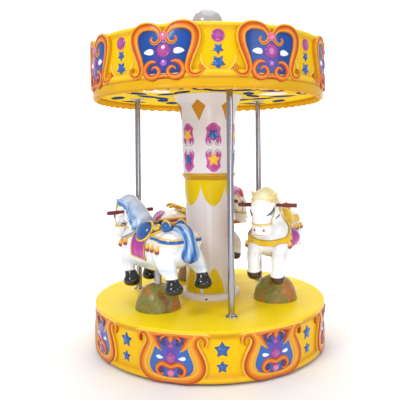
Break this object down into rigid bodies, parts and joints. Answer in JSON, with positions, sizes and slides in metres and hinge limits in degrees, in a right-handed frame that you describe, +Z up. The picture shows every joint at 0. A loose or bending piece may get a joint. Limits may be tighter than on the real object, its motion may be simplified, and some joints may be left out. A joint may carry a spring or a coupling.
{
  "type": "children's carousel",
  "caption": "Small free-standing children's carousel: round base drum, centre column, poles, scrollwork canopy with a ball lamp, and horses that rise and fall.",
  "frame": {"origin": "on the spin axis at floor level", "axes": "+Z up along the spin axis, front towards -Y, +X to the right seen from the front"},
  "size_m": [1.5416, 1.5416, 2.196],
  "materials": {
    "frame_steel": "satin dark grey paint",
    "stainless": "polished stainless tube",
    "lemon_yellow": "glossy painted fibreglass",
    "golden_yellow": "glossy painted fibreglass",
    "lilac_white": "glossy painted fibreglass",
    "rock_brown": "mottled painted fibreglass",
    "horse_white": "glossy painted fibreglass",
    "trim_blue": "glossy painted fibreglass",
    "trim_yellow": "glossy painted fibreglass",
    "trim_pink": "glossy painted fibreglass",
    "maroon": "moulded grip",
    "lamp_glass": "grey frosted glass"
  },
  "bodies": {
    "ground_frame": {"ground_cross": "frame_steel", "spindle_post": "stainless"},
    "turntable": {"deck_spider": "frame_steel", "deck": "lemon_yellow", "base_skirt": "golden_yellow", "column_foot_ring": "lilac_white", "lower_column": "lilac_white", "column_ring": "golden_yellow", "upper_column": "lilac_white", "canopy_fascia": "golden_yellow", "canopy_ceiling": "golden_yellow", "canopy_roof": "golden_yellow", "lamp_base": "stainless", "lamp_globe": "lamp_glass", "front_pole": "stainless", "front_pole_foot": "stainless", "front_pole_top_plate": "stainless", "right_pole": "stainless", "right_pole_foot": "stainless", "right_pole_top_plate": "stainless", "left_pole": "stainless", "left_pole_foot": "stainless", "left_pole_top_plate": "stainless", "blue_rock": "rock_brown", "yellow_rock": "rock_brown", "pink_rock": "rock_brown"},
    "blue_horse": {"blue_horse_body": "horse_white", "blue_horse_mane": "trim_blue", "blue_horse_tail": "trim_blue", "blue_horse_saddle": "trim_blue", "blue_horse_handlebar": "maroon", "blue_horse_rod": "stainless"},
    "yellow_horse": {"yellow_horse_body": "horse_white", "yellow_horse_mane": "trim_yellow", "yellow_horse_tail": "trim_yellow", "yellow_horse_saddle": "trim_yellow", "yellow_horse_handlebar": "maroon", "yellow_horse_rod": "stainless"},
    "pink_horse": {"pink_horse_body": "horse_white", "pink_horse_mane": "trim_pink", "pink_horse_tail": "trim_pink", "pink_horse_saddle": "trim_pink", "pink_horse_handlebar": "maroon", "pink_horse_rod": "stainless"}
  },
  "joints": [
    {"name": "turntable_spin", "type": "hinge", "parent": "ground_frame", "child": "turntable", "pos_m": [0, 0, 0.18], "axis": [0, 0, 1], "continuous": true},
    {"name": "blue_horse_lift", "type": "slide", "parent": "turntable", "child": "blue_horse", "axis": [0, 0, 1], "range_m": [-0.01, 0.07]},
    {"name": "yellow_horse_lift", "type": "slide", "parent": "turntable", "child": "yellow_horse", "axis": [0, 0, 1], "range_m": [-0.07, 0.01]},
    {"name": "pink_horse_lift", "type": "slide", "parent": "turntable", "child": "pink_horse", "axis": [0, 0, 1], "range_m": [-0.025, 0.055]}
  ]
}
